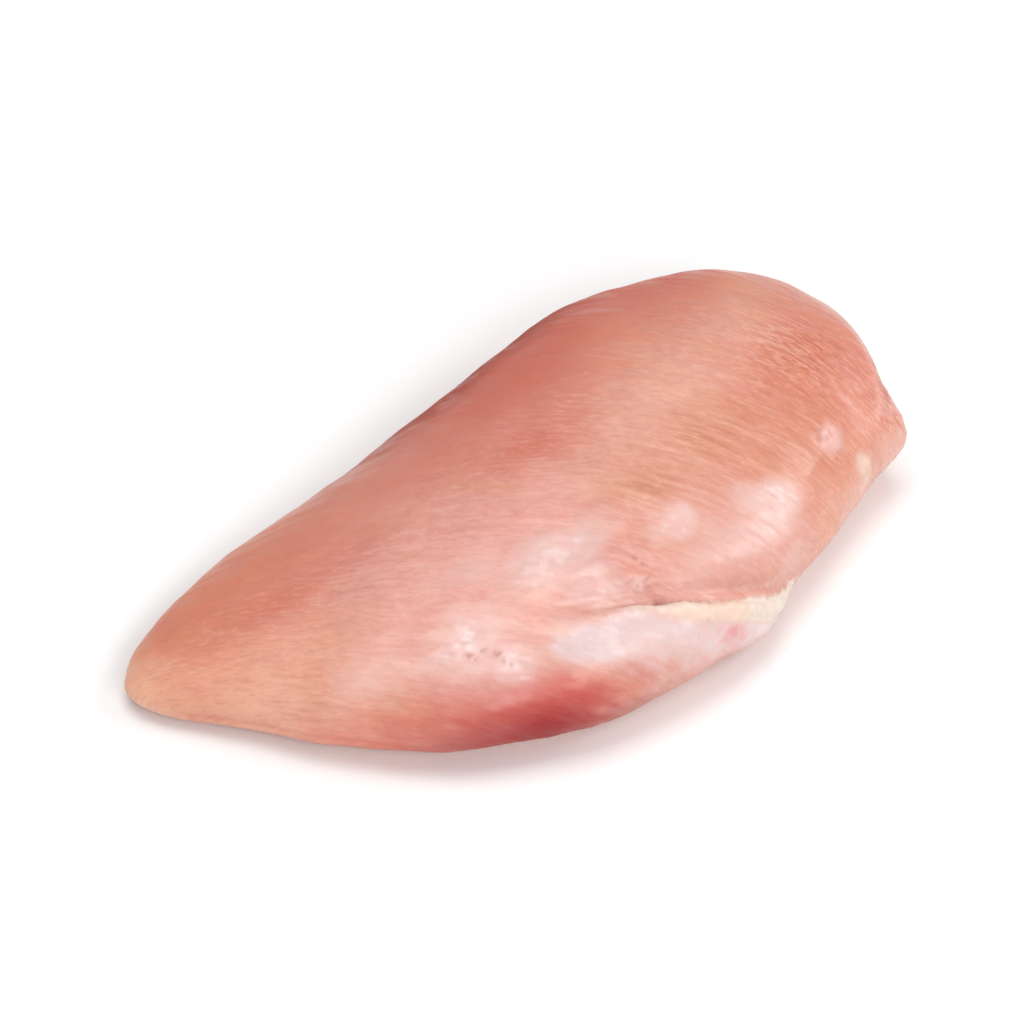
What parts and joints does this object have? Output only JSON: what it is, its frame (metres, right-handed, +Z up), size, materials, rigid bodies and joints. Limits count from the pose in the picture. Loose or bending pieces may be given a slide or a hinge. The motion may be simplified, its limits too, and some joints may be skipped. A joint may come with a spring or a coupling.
{
  "type": "raw chicken breast fillet",
  "caption": "Whole raw skinless chicken breast fillet, thick rounded shoulder, thin pointed tip, flap folded under a crease along one side, flat underneath to lie on a surface.",
  "frame": {"origin": "middle of the fillet's footprint, on the surface that it lies on", "axes": "+X along the fillet from the thin tip to the thick shoulder, +Z up from the surface that it lies on, -Y towards the side with the crease"},
  "size_m": [0.1836, 0.1042, 0.0332],
  "materials": {
    "raw_flesh": "wet raw meat"
  },
  "bodies": {
    "root": {"fillet": "raw_flesh"}
  },
  "joints": []
}
